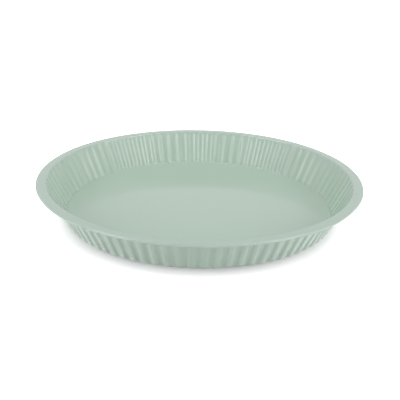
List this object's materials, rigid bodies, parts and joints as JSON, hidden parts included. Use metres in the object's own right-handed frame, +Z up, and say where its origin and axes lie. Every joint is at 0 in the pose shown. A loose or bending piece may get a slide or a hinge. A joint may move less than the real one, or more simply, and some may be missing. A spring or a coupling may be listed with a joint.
{
  "type": "fluted cake pan",
  "caption": "Shallow round cake pan with flared fluted sides, a flat rim with a rolled edge, and a flat base plate that lifts out of the ring.",
  "frame": {"origin": "on the pan's axis, in the plane of the surface that it stands on", "axes": "+Z up along the pan's axis, out of its mouth; X and Y lie in the standing plane, and no side is the front"},
  "size_m": [0.298, 0.2978, 0.0315],
  "materials": {
    "ring_coat": "semi-gloss sage green non-stick coat on steel",
    "base_coat": "semi-gloss sage green non-stick coat on steel"
  },
  "bodies": {
    "ring": {"fluted_ring": "ring_coat"},
    "base": {"base_plate": "base_coat"}
  },
  "joints": [
    {"name": "base_lift", "type": "slide", "parent": "ring", "child": "base", "axis": [0, 0, 1], "range_m": [0, 0.05]}
  ]
}
